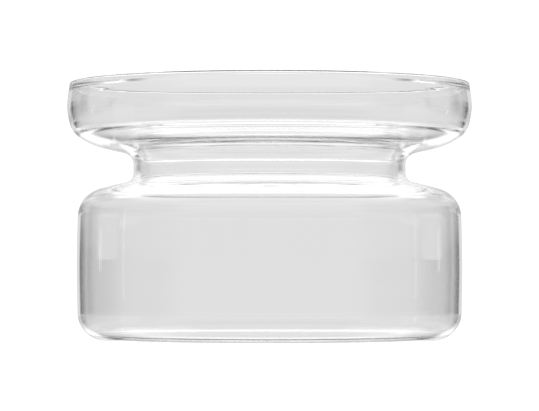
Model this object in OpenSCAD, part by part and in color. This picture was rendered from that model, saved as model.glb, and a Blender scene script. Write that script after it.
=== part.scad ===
// Waisted two-tier glass vessel: a wide closed chamber below, a narrow neck,
// and a shallow open bowl above, all one piece of clear glass.
// The glass is one continuous wall. The modules are its zones from the floor
// to the rim, cut where the wall changes direction, and they meet face to face.
// Millimetres, +Z up, origin at the centre of the resting face.

/* [Overall] */

// Height from the resting face to the top of the rim
overall_height = 140; // [110:1:180]
// Widest diameter, reached a little below the rim of the bowl
bowl_diameter = 220; // [180:1:260]

/* [Chamber] */

// Diameter of the chamber at its belly
belly_diameter = 209.6; // [170:0.1:240]
// How much smaller the radius is at the foot and the shoulder than at the belly
belly_swell = 0.9; // [0:0.1:3]
// Height of the belly above the resting face
belly_height = 40; // [30:1:60]
// Outside radius of the rounded bottom corner
foot_corner = 15.2; // [8:0.1:25]
// Outside radius of the rounded shoulder
shoulder_corner = 16.2; // [8:0.1:25]
// Height at which the chamber wall would meet the shoulder slope
shoulder_height = 79.1; // [60:0.1:90]
// Slope of the shoulder, degrees above level towards the neck
shoulder_slope = 14.6; // [0:0.1:30]
// Wall thickness of the chamber
chamber_wall = 2.1; // [1.5:0.1:4]
// Thickness of the floor
floor_thickness = 2; // [2:0.1:6]

/* [Neck] */

// Outside diameter of the neck
neck_diameter = 148; // [120:0.5:170]
// Wall thickness of the neck
neck_wall = 3.6; // [2:0.1:6]
// Outside fillet between the shoulder and the neck
lower_fillet = 5.2; // [3:0.1:12]
// Height at which the neck would meet the underside of the bowl
neck_top = 100.6; // [90:0.1:110]
// Outside fillet between the neck and the underside of the bowl
upper_fillet = 6.9; // [3:0.1:12]

/* [Bowl] */

// Slope of the underside of the bowl, degrees above level
underside_slope = 12.8; // [5:0.1:25]
// Radius at which the underside turns up towards the wall
turn_radius = 97.2; // [85:0.1:105]
// Slope of the turn between the underside and the wall, degrees above level
turn_slope = 34.5; // [20:0.5:60]
// Radius at which the turn meets the wall
wall_foot_radius = 107.1; // [100:0.1:109]
// Height of the widest circle above the resting face
widest_height = 124.5; // [115:0.5:130]
// Outside radius of the turn between the underside and the wall
turn_corner = 37; // [25:1:37]
// Outside radius of the corner at the foot of the wall
wall_foot_corner = 12.6; // [8:0.1:13]
// Outside radius of the wall, in section, at the widest circle
widest_corner = 36; // [20:1:38]
// How much the wall leans in between the widest circle and the rim
rim_lean = 1.5; // [0:0.1:4]
// Wall thickness of the bowl
bowl_wall = 2.7; // [1.5:0.1:4]
// Thickness of the fire-polished rim
rim_thickness = 3.5; // [2:0.1:5]
// Height over which the rim thickens
rim_bead_height = 5; // [3:0.5:10]

/* [Hidden] */

// Degrees turned by each short facet of the outline
arc_step = 5;
$fn = 180;

// Rounds the corner p between a and b to the radius r
function unit(v) = v / norm(v);
function turned(from, to) = (to - from + 540) % 360 - 180;
function arc(c, r, from, to, n) = [for (i = [0 : n]) c + r * [cos(from + turned(from, to) * i / n),
                                                              sin(from + turned(from, to) * i / n)]];
function corner_arc(c, r, s, e) =
    let (from = atan2(s.y - c.y, s.x - c.x), to = atan2(e.y - c.y, e.x - c.x))
    arc(c, r, from, to, max(2, ceil(abs(turned(from, to)) / arc_step)));
function corner(a, p, b, r) =
    let (u = unit(a - p), w = unit(b - p), half = acos(u * w) / 2, t = r / tan(half))
    corner_arc(p + unit(u + w) * r / sin(half), r, p + u * t, p + w * t);
function xy(v) = [v[0], v[1]];
function rounded(path) = [for (i = [0 : len(path) - 1])
    each path[i][2] <= 0 ? [xy(path[i])]
                         : corner(xy(path[i - 1]), xy(path[i]), xy(path[i + 1]), path[i][2])];

chamber_radius = belly_diameter / 2 - belly_swell;
neck_radius = neck_diameter / 2;
neck_foot = shoulder_height + (chamber_radius - neck_radius) * tan(shoulder_slope);
turn_height = neck_top + (turn_radius - neck_radius) * tan(underside_slope);
wall_foot_height = turn_height + (wall_foot_radius - turn_radius) * tan(turn_slope);
rim_radius = bowl_diameter / 2 - rim_lean;
rim_round = rim_thickness / 2 - 0.15;
// Rounding an outline corner trims it, so the corner stands this far outside the widest circle
wall_bow = 0.62;

// Outside of the glass from the middle of the floor to the top of the rim
outside = [
    [0, 0, 0],
    [chamber_radius, 0, foot_corner],
    [belly_diameter / 2, belly_height, 400],
    [chamber_radius, shoulder_height, shoulder_corner],
    [neck_radius, neck_foot, lower_fillet],
    [neck_radius, neck_top, upper_fillet],
    [turn_radius, turn_height, turn_corner],
    [wall_foot_radius, wall_foot_height, wall_foot_corner],
    [bowl_diameter / 2 + wall_bow, widest_height, widest_corner],
    [rim_radius, overall_height, rim_round],
];

// Inside of the glass from the rim back down to the middle of the floor
inside = [
    [rim_radius - rim_thickness, overall_height, rim_round],
    [rim_radius - rim_thickness, overall_height - rim_bead_height * 0.55, 1.9],
    [rim_radius + 0.6 - bowl_wall, overall_height - rim_bead_height, bowl_wall],
    [bowl_diameter / 2 + wall_bow - bowl_wall - 0.2, widest_height, widest_corner - 6],
    [wall_foot_radius - bowl_wall * 1.05, wall_foot_height + bowl_wall * 0.8, wall_foot_corner - 7],
    [turn_radius - bowl_wall * 0.36, turn_height + bowl_wall * 1.07, turn_corner - 3.4],
    [neck_radius - neck_wall, neck_top + bowl_wall * 1.25, upper_fillet + neck_wall - 2],
    [neck_radius - neck_wall, neck_foot - chamber_wall * 1.2, lower_fillet + neck_wall],
    [chamber_radius - chamber_wall, shoulder_height - chamber_wall * 0.75, shoulder_corner - 5.8],
    [belly_diameter / 2 - chamber_wall, belly_height, 400],
    [chamber_radius - chamber_wall, floor_thickness, foot_corner - 3.4],
    [0, floor_thickness, 0],
];

// Heights and radii where one zone of the wall meets the next
floor_edge = chamber_radius - foot_corner;
foot_top = foot_corner + 0.8;
wall_top = shoulder_height - shoulder_corner + 1.5;
neck_bottom = neck_foot + 2;
neck_head = neck_top - 3;
bowl_floor_top = wall_foot_height + 5;
rim_start = overall_height - rim_bead_height - 1;
reach = bowl_diameter;

// The part of the glass between two heights, outside an inner radius
module zone(low, high, inner, outer) {
    color([0.88, 0.93, 0.95, 0.35])
        rotate_extrude()
            intersection() {
                polygon(rounded(concat(outside, inside)));
                translate([inner, low])
                    square([outer - inner, high - low]);
            }
}

module floor() zone(-1, foot_corner, 0, floor_edge);
module foot() zone(-1, foot_top, floor_edge, reach);
module chamber_wall() zone(foot_top, wall_top, 0, reach);
module shoulder() zone(wall_top, neck_bottom, 0, reach);
module neck() zone(neck_bottom, neck_head, 0, reach);
module bowl_floor() zone(neck_head, bowl_floor_top, 0, reach);
module bowl_wall() zone(bowl_floor_top, rim_start, 0, reach);
module rim() zone(rim_start, overall_height + 1, 0, reach);

floor();
foot();
chamber_wall();
shoulder();
neck();
bowl_floor();
bowl_wall();
rim();
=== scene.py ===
import math

import bmesh
import bpy
from mathutils import Matrix, Vector


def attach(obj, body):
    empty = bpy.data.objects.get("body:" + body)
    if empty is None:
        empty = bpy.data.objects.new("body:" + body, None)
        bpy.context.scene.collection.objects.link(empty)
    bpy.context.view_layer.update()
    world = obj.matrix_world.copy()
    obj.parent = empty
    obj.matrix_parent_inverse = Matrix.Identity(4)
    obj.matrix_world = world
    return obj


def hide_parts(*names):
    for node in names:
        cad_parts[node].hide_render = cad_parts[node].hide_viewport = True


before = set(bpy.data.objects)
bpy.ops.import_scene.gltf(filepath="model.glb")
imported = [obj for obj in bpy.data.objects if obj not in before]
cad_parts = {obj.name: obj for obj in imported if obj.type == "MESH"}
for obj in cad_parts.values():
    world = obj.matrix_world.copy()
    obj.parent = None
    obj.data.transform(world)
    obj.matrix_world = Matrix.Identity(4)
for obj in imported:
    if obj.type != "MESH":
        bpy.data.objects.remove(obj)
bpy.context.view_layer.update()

# ---------------------------------------------------------------- dimensions, in mm
OVERALL_HEIGHT = 140.0
BOWL_DIAMETER = 220.0
BELLY_DIAMETER = 209.6
BELLY_SWELL = 0.9
BELLY_HEIGHT = 40.0
FOOT_CORNER = 15.2
SHOULDER_CORNER = 16.2
SHOULDER_HEIGHT = 79.1
SHOULDER_SLOPE = 14.6
CHAMBER_WALL = 2.1
FLOOR_THICKNESS = 2.0
NECK_DIAMETER = 148.0
NECK_WALL = 3.6
LOWER_FILLET = 5.2
NECK_TOP = 100.6
UPPER_FILLET = 6.9
UNDERSIDE_SLOPE = 12.8
TURN_RADIUS = 97.2
TURN_SLOPE = 34.5
WALL_FOOT_RADIUS = 107.1
WIDEST_HEIGHT = 124.5
TURN_CORNER = 37.0
WALL_FOOT_CORNER = 12.6
WIDEST_CORNER = 36.0
WALL_BOW = 0.62
RIM_LEAN = 1.5
BOWL_WALL = 2.7
RIM_THICKNESS = 3.5
RIM_BEAD_HEIGHT = 5.0

# Radius, in section, of the slight outward bulge at the belly.
BELLY_ROUND = 400.0

# ---------------------------------------------------------------- how finely the glass is cut
SEGMENTS = 224
ARC_STEP = 2.5  # degrees
MIN_ARC_STEPS = 3
LONG_STEP = 12.0  # mm
SHORT_STEP = 0.4  # mm
AXIS_RADIUS = 1e-6  # m, a point closer to the axis than this is one vertex

# ---------------------------------------------------------------- glass and light
GLASS_IOR = 1.473
WAVE_SCALE = 9.0
WAVE_DETAIL = 1.5
WAVE_STRENGTH = 0.2
WAVE_DEPTH = 0.0004  # m
WHITE = (1.0, 1.0, 1.0, 1.0)
SEEN_WHITE = 1.2  # brightness of the floor and the backdrop to the camera
FLOOR_HALF = 30.0  # m
FLOOR_DROP = 0.0004  # m, how far the floor lies under the resting face
BOUNCES = 96  # with 24 the light trapped in the foot and the shoulders is cut off and they turn black


def slope(degrees):
    return math.tan(math.radians(degrees))


def rounded(path):
    """Points along a path of (r, z, corner radius), each corner turned as an arc."""
    points = []
    for i, (r, z, radius) in enumerate(path):
        p = Vector((r, z))
        if radius <= 0:
            points.append(p)
            continue
        u = (Vector(path[i - 1][:2]) - p).normalized()
        w = (Vector(path[i + 1][:2]) - p).normalized()
        half = u.angle(w) / 2
        centre = p + (u + w).normalized() * radius / math.sin(half)
        start = p + u * radius / math.tan(half) - centre
        turn = start.angle_signed(p + w * radius / math.tan(half) - centre)
        steps = max(MIN_ARC_STEPS, math.ceil(abs(math.degrees(turn)) / ARC_STEP))
        for k in range(steps + 1):
            points.append(centre + Matrix.Rotation(-turn * k / steps, 2) @ start)
    return points


def resampled(points, longest):
    """The same line with no step longer than longest, and a short step at each end of a long one."""
    line = [points[0]]
    for a, b in zip(points, points[1:]):
        length = (b - a).length
        if length > 4 * SHORT_STEP:
            a_end = a.lerp(b, SHORT_STEP / length)
            b_end = b.lerp(a, SHORT_STEP / length)
            line.append(a_end)
            n = math.ceil((b_end - a_end).length / longest)
            line += [a_end.lerp(b_end, k / n) for k in range(1, n + 1)]
        line.append(b)
    return line


def outline():
    """Half section of the glass, from the middle of the underside round to the middle of the floor."""
    chamber_r = BELLY_DIAMETER / 2 - BELLY_SWELL
    neck_r = NECK_DIAMETER / 2
    neck_foot = SHOULDER_HEIGHT + (chamber_r - neck_r) * slope(SHOULDER_SLOPE)
    turn_z = NECK_TOP + (TURN_RADIUS - neck_r) * slope(UNDERSIDE_SLOPE)
    foot_z = turn_z + (WALL_FOOT_RADIUS - TURN_RADIUS) * slope(TURN_SLOPE)
    rim_r = BOWL_DIAMETER / 2 - RIM_LEAN
    rim_round = RIM_THICKNESS / 2 - 0.15
    outside = [
        (0.0, 0.0, 0),
        (chamber_r, 0.0, FOOT_CORNER),
        (BELLY_DIAMETER / 2, BELLY_HEIGHT, BELLY_ROUND),
        (chamber_r, SHOULDER_HEIGHT, SHOULDER_CORNER),
        (neck_r, neck_foot, LOWER_FILLET),
        (neck_r, NECK_TOP, UPPER_FILLET),
        (TURN_RADIUS, turn_z, TURN_CORNER),
        (WALL_FOOT_RADIUS, foot_z, WALL_FOOT_CORNER),
        (BOWL_DIAMETER / 2 + WALL_BOW, WIDEST_HEIGHT, WIDEST_CORNER),
        (rim_r, OVERALL_HEIGHT, rim_round),
    ]
    # Each inner corner is its outer one moved in by about the wall's thickness.
    inside = [
        (rim_r - RIM_THICKNESS, OVERALL_HEIGHT, rim_round),
        (rim_r - RIM_THICKNESS, OVERALL_HEIGHT - RIM_BEAD_HEIGHT * 0.55, 1.9),
        (rim_r + 0.6 - BOWL_WALL, OVERALL_HEIGHT - RIM_BEAD_HEIGHT, BOWL_WALL),
        (BOWL_DIAMETER / 2 + WALL_BOW - BOWL_WALL - 0.2, WIDEST_HEIGHT, WIDEST_CORNER - 6),
        (WALL_FOOT_RADIUS - BOWL_WALL * 1.05, foot_z + BOWL_WALL * 0.8, WALL_FOOT_CORNER - 7),
        (TURN_RADIUS - BOWL_WALL * 0.36, turn_z + BOWL_WALL * 1.07, TURN_CORNER - 3.4),
        (neck_r - NECK_WALL, NECK_TOP + BOWL_WALL * 1.25, UPPER_FILLET + NECK_WALL - 2),
        (neck_r - NECK_WALL, neck_foot - CHAMBER_WALL * 1.2, LOWER_FILLET + NECK_WALL),
        (chamber_r - CHAMBER_WALL, SHOULDER_HEIGHT - CHAMBER_WALL * 0.75, SHOULDER_CORNER - 5.8),
        (BELLY_DIAMETER / 2 - CHAMBER_WALL, BELLY_HEIGHT, BELLY_ROUND),
        (chamber_r - CHAMBER_WALL, FLOOR_THICKNESS, FOOT_CORNER - 3.4),
        (0.0, FLOOR_THICKNESS, 0),
    ]
    return resampled(rounded(outside + inside), LONG_STEP)


def lathe(name, points, segments):
    """A closed solid of revolution about Z from a half section in mm."""
    mesh = bpy.data.meshes.new(name)
    bm = bmesh.new()
    rings = []
    for p in points:
        r, z = p.x / 1000, p.y / 1000
        if r < AXIS_RADIUS:
            rings.append([bm.verts.new((0, 0, z))])
        else:
            turn = 2 * math.pi / segments
            rings.append([bm.verts.new((r * math.cos(turn * i), r * math.sin(turn * i), z))
                          for i in range(segments)])
    for low, high in zip(rings, rings[1:]):
        for i in range(segments):
            j = (i + 1) % segments
            loop = [low[i % len(low)], low[j % len(low)], high[j % len(high)], high[i % len(high)]]
            bm.faces.new(list(dict.fromkeys(loop)))
    bmesh.ops.recalc_face_normals(bm, faces=bm.faces)
    bm.to_mesh(mesh)
    bm.free()
    mesh.shade_smooth()
    obj = bpy.data.objects.new(name, mesh)
    bpy.context.scene.collection.objects.link(obj)
    return obj


# ---------------------------------------------------------------- glass

def clear_glass():
    """Clear glass with a very slight waviness in its surface."""
    mat = bpy.data.materials.new("clear_glass")
    mat.use_nodes = True
    nodes, links = mat.node_tree.nodes, mat.node_tree.links
    shader = nodes["Principled BSDF"]
    shader.inputs["Base Color"].default_value = WHITE
    shader.inputs["Transmission Weight"].default_value = 1.0
    shader.inputs["Roughness"].default_value = 0.0
    shader.inputs["IOR"].default_value = GLASS_IOR
    coords = nodes.new("ShaderNodeTexCoord")
    waves = nodes.new("ShaderNodeTexNoise")
    waves.inputs["Scale"].default_value = WAVE_SCALE
    waves.inputs["Detail"].default_value = WAVE_DETAIL
    bump = nodes.new("ShaderNodeBump")
    bump.inputs["Strength"].default_value = WAVE_STRENGTH
    bump.inputs["Distance"].default_value = WAVE_DEPTH
    links.new(coords.outputs["Object"], waves.inputs["Vector"])
    links.new(waves.outputs["Fac"], bump.inputs["Height"])
    links.new(bump.outputs["Normal"], shader.inputs["Normal"])
    return mat


vessel = lathe("glass_vessel_blown", outline(), SEGMENTS)
vessel.data.materials.append(clear_glass())
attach(vessel, "root")
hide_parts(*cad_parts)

# ---------------------------------------------------------------- studio


def emission(name, strength):
    """A white glow."""
    mat = bpy.data.materials.new(name)
    mat.use_nodes = True
    nodes = mat.node_tree.nodes
    nodes.clear()
    glow = nodes.new("ShaderNodeEmission")
    glow.inputs["Color"].default_value = WHITE
    glow.inputs["Strength"].default_value = strength
    surface = nodes.new("ShaderNodeOutputMaterial")
    mat.node_tree.links.new(glow.outputs[0], surface.inputs[0])
    return mat


def card(name, centre, width, height, strength):
    """A light panel that stands upright and faces the axis, hidden from the camera."""
    mesh = bpy.data.meshes.new(name)
    w, h = width / 2, height / 2
    mesh.from_pydata([(-w, -h, 0), (w, -h, 0), (w, h, 0), (-w, h, 0)], [], [(0, 1, 2, 3)])
    obj = bpy.data.objects.new(name, mesh)
    obj.location = centre
    obj.rotation_mode = "QUATERNION"
    axis = Vector((0, 0, centre[2]))
    obj.rotation_quaternion = (axis - Vector(centre)).to_track_quat("Z", "Y")
    mesh.materials.append(emission(name, strength))
    obj.visible_camera = False
    bpy.context.scene.collection.objects.link(obj)


def floor():
    """The plain white table, seen by the camera only; the world below lights the glass."""
    mesh = bpy.data.meshes.new("floor")
    s, z = FLOOR_HALF, -FLOOR_DROP
    mesh.from_pydata([(-s, -s, z), (s, -s, z), (s, s, z), (-s, s, z)], [], [(0, 1, 2, 3)])
    mesh.materials.append(emission("white_floor", SEEN_WHITE))
    obj = bpy.data.objects.new("floor", mesh)
    for ray in ("diffuse", "glossy", "transmission", "shadow"):
        setattr(obj, "visible_" + ray, False)
    bpy.context.scene.collection.objects.link(obj)


floor()
# A tall soft panel and a bare tube at each side, reflected in the curved walls: name, angle round
# from straight behind the glass, distance, width, height of its two ends in metres, and brightness.
SIDE_CARDS = (
    ("soft_panel", 74, 0.66, 0.24, 0.056, 0.60, 0.75),
    ("bare_tube", 68, 0.63, 0.007, 0.037, 0.082, 2.5),
)
for side in (-1, 1):
    for name, angle, distance, width, low, high, strength in SIDE_CARDS:
        turn = math.radians(angle)
        middle = (side * distance * math.sin(turn), distance * math.cos(turn), (low + high) / 2)
        card(name, middle, width, high - low, strength)

# The room: plain white to the camera, and bands of light and dark by angle to every other ray.
world = bpy.data.worlds.new("studio")
bpy.context.scene.world = world
world.use_nodes = True
nodes, links = world.node_tree.nodes, world.node_tree.links
nodes.clear()


def calc(operation, a, b=None):
    """One Math node: a and b are numbers or sockets."""
    n = nodes.new("ShaderNodeMath")
    n.operation = operation
    for i, v in enumerate((a, b)):
        if isinstance(v, (int, float)):
            n.inputs[i].default_value = v
        elif v is not None:
            links.new(v, n.inputs[i])
    return n.outputs[0]


def step(value, at, soft):
    """0 below at and 1 above it, over a soft edge."""
    n = nodes.new("ShaderNodeMapRange")
    n.interpolation_type = "SMOOTHSTEP"
    links.new(value, n.inputs["Value"])
    n.inputs["From Min"].default_value = at - soft
    n.inputs["From Max"].default_value = at + soft
    return n.outputs[0]


def mixed(factor, a, b):
    """a where factor is 0, b where it is 1."""
    return calc("ADD", calc("MULTIPLY", calc("SUBTRACT", 1.0, factor), a), calc("MULTIPLY", factor, b))


def bands(angle, first, *rest):
    """Brightness by angle in degrees: first, then (from this angle, brightness, soft edge)."""
    level = first
    for at, value, soft in rest:
        level = mixed(step(angle, at, soft), level, value)
    return level


coords = nodes.new("ShaderNodeTexCoord")
split = nodes.new("ShaderNodeSeparateXYZ")
links.new(coords.outputs["Generated"], split.inputs[0])
x, y, z = split.outputs
TO_DEGREES = 180 / math.pi
elevation = calc("MULTIPLY", calc("ARCSINE", z), TO_DEGREES)
azimuth = calc("MULTIPLY", calc("ARCTAN2", calc("ABSOLUTE", x), y), TO_DEGREES)

# The lighting plan, by angle round from straight behind the glass. At the horizon there is the grey
# sweep, a black flag at each edge of it, and the dim room, which is lighter above the flags.
BACKDROP = 0.77
low_light = bands(azimuth, BACKDROP, (8, 0.72, 4), (23, 0.03, 3), (35, 0.22, 4), (60, 0.05, 6),
                  (75, 0.32, 8), (120, 0.6, 10))
high_light = bands(azimuth, BACKDROP, (8, 0.73, 4), (24, 0.5, 3), (110, 0.58, 10))
FLAG_TOP = 1.8  # degrees above the horizon
horizon = mixed(step(elevation, FLAG_TOP, 0.7), low_light, high_light)
# The table straight under the glass, close to it and far from it, and the edge of the table.
under_table = 0.8
near_table = bands(azimuth, 1.2, (60, 0.9, 10), (120, 0.3, 10))
far_table = bands(azimuth, 0.0, (18, 0.5, 6), (120, 0.0, 10))
table_edge = bands(azimuth, 1.3, (23, 0.7, 5), (115, 1.0, 10))
# The wall above the sweep, with a dark gap in the middle under the ceiling panel, and the ceiling.
wall = bands(azimuth, BACKDROP, (12, 1.2, 4), (25, 0.6, 6), (75, 0.8, 10), (120, 1.2, 10))
gap = bands(azimuth, 0.1, (12, 1.3, 4), (25, 0.6, 6), (120, 1.2, 10))
ceiling = bands(azimuth, 2.0, (60, 1.1, 10))
level = bands(elevation, under_table, (-58, near_table, 4), (-40, far_table, 4), (-20, table_edge, 3),
              (-9, horizon, 3), (15, wall, 3), (24, gap, 2), (33, ceiling, 4))

room = nodes.new("ShaderNodeBackground")
room.inputs["Color"].default_value = WHITE
links.new(level, room.inputs["Strength"])
seen = nodes.new("ShaderNodeBackground")
seen.inputs["Color"].default_value = WHITE
seen.inputs["Strength"].default_value = SEEN_WHITE
ray_kind = nodes.new("ShaderNodeLightPath")
mix = nodes.new("ShaderNodeMixShader")
links.new(ray_kind.outputs["Is Camera Ray"], mix.inputs[0])
links.new(room.outputs[0], mix.inputs[1])
links.new(seen.outputs[0], mix.inputs[2])
surroundings = nodes.new("ShaderNodeOutputWorld")
links.new(mix.outputs[0], surroundings.inputs[0])

# ---------------------------------------------------------------- camera

CAMERA_DISTANCE = 1.712
CAMERA_HEIGHT = 0.0316
LOOK_AT = (0.0, 0.0, 0.0732)
FOCAL_LENGTH = 210.4  # mm
SENSOR_WIDTH = 36.0  # mm

camera = bpy.data.objects.new("camera", bpy.data.cameras.new("camera"))
camera.data.lens = FOCAL_LENGTH
camera.data.sensor_width = SENSOR_WIDTH
camera.location = (0.0, -CAMERA_DISTANCE, CAMERA_HEIGHT)
camera.rotation_mode = "QUATERNION"
camera.rotation_quaternion = (Vector(LOOK_AT) - camera.location).to_track_quat("-Z", "Y")
bpy.context.scene.collection.objects.link(camera)
bpy.context.scene.camera = camera

scene = bpy.context.scene
scene.view_settings.view_transform = "Standard"
scene.view_settings.look = "None"
scene.cycles.max_bounces = BOUNCES
scene.cycles.transmission_bounces = BOUNCES
scene.cycles.glossy_bounces = BOUNCES
